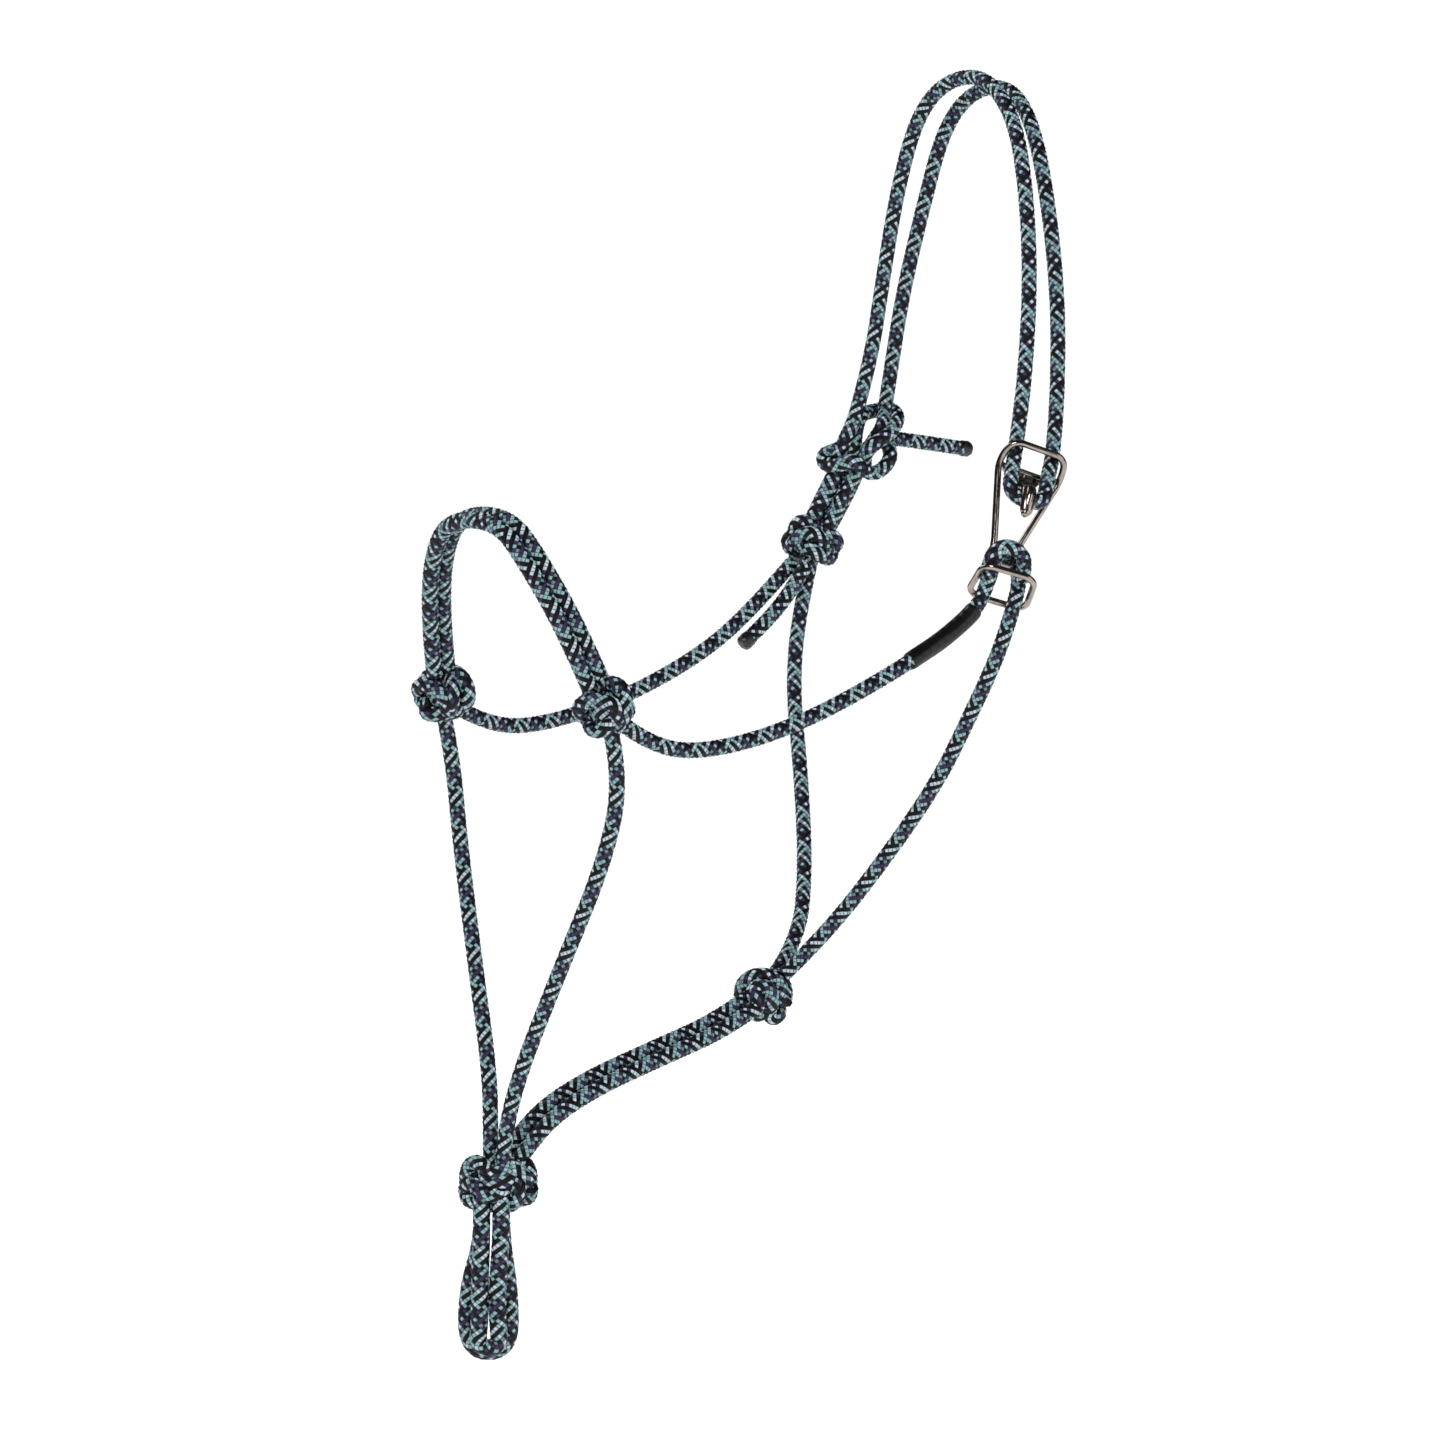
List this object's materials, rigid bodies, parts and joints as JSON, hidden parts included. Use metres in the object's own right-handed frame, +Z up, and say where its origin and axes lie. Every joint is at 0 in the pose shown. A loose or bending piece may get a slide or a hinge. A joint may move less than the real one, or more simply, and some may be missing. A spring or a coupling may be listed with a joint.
{
  "type": "rope halter",
  "caption": "Knotted rope halter with a doubled noseband, a crown rope over the poll held by a wire hook, a keeper ring and a lead loop under the chin.",
  "frame": {"origin": "on the inside of the crown rope at the top of the head, midway between the two sides", "axes": "+X to the horse's left, where the hook is; -Y towards the nose; +Z up, as worn"},
  "size_m": [0.162, 0.3544, 0.5736],
  "materials": {
    "braided_rope": "matt braid",
    "black_sleeve": "satin",
    "sealed_tip": "melted",
    "plated_metal": "dark nickel plate"
  },
  "bodies": {
    "halter": {"near_nose_knot": "braided_rope", "off_nose_knot": "braided_rope", "throat_knot": "braided_rope", "chin_knot": "braided_rope", "off_cheek_knot": "braided_rope", "tie_knot": "braided_rope", "noseband_back_strand": "braided_rope", "noseband_front_strand": "braided_rope", "near_jaw_rope": "braided_rope", "off_jaw_rope": "braided_rope", "off_cheek_rope": "braided_rope", "off_throat_rope": "braided_rope", "near_side_rope": "braided_rope", "label_sleeve": "black_sleeve", "curb_upper_strand": "braided_rope", "curb_lower_strand": "braided_rope", "crown_rope": "braided_rope", "eye_front_leg": "braided_rope", "eye_back_leg": "braided_rope", "crown_end_leg": "braided_rope"},
    "hook": {"crown_hook": "plated_metal"},
    "keeper": {"keeper_ring": "plated_metal"},
    "lead_loop": {"lead_loop_outer": "braided_rope", "lead_loop_inner": "braided_rope"},
    "crown_tail": {"crown_tail": "braided_rope", "crown_tail_tip": "sealed_tip"},
    "cheek_tail": {"cheek_tail": "braided_rope", "cheek_tail_tip": "sealed_tip"}
  },
  "joints": [
    {"name": "hook_tilt", "type": "hinge", "parent": "halter", "child": "hook", "pos_m": [0.06558, -0.039, -0.21687], "axis": [0.3996, 0.8569, -0.3256], "range_deg": [-1.5, 1.5]},
    {"name": "keeper_slide", "type": "slide", "parent": "halter", "child": "keeper", "axis": [-0.0219, 0.364, 0.9312], "range_m": [-0.003, 0]},
    {"name": "lead_loop_swing", "type": "hinge", "parent": "halter", "child": "lead_loop", "pos_m": [0, -0.285, -0.489], "axis": [1, 0, 0], "range_deg": [-20, 20]},
    {"name": "crown_tail_bend", "type": "hinge", "parent": "halter", "child": "crown_tail", "pos_m": [-0.058, 0.01204, -0.16715], "axis": [1, 0, 0], "range_deg": [-18, 18], "stiffness_Nm_per_rad": 0.03},
    {"name": "cheek_tail_bend", "type": "hinge", "parent": "halter", "child": "cheek_tail", "pos_m": [-0.0618, -0.0536, -0.23245], "axis": [0, -0.6402, 0.7682], "range_deg": [-5, 25], "stiffness_Nm_per_rad": 0.03}
  ]
}
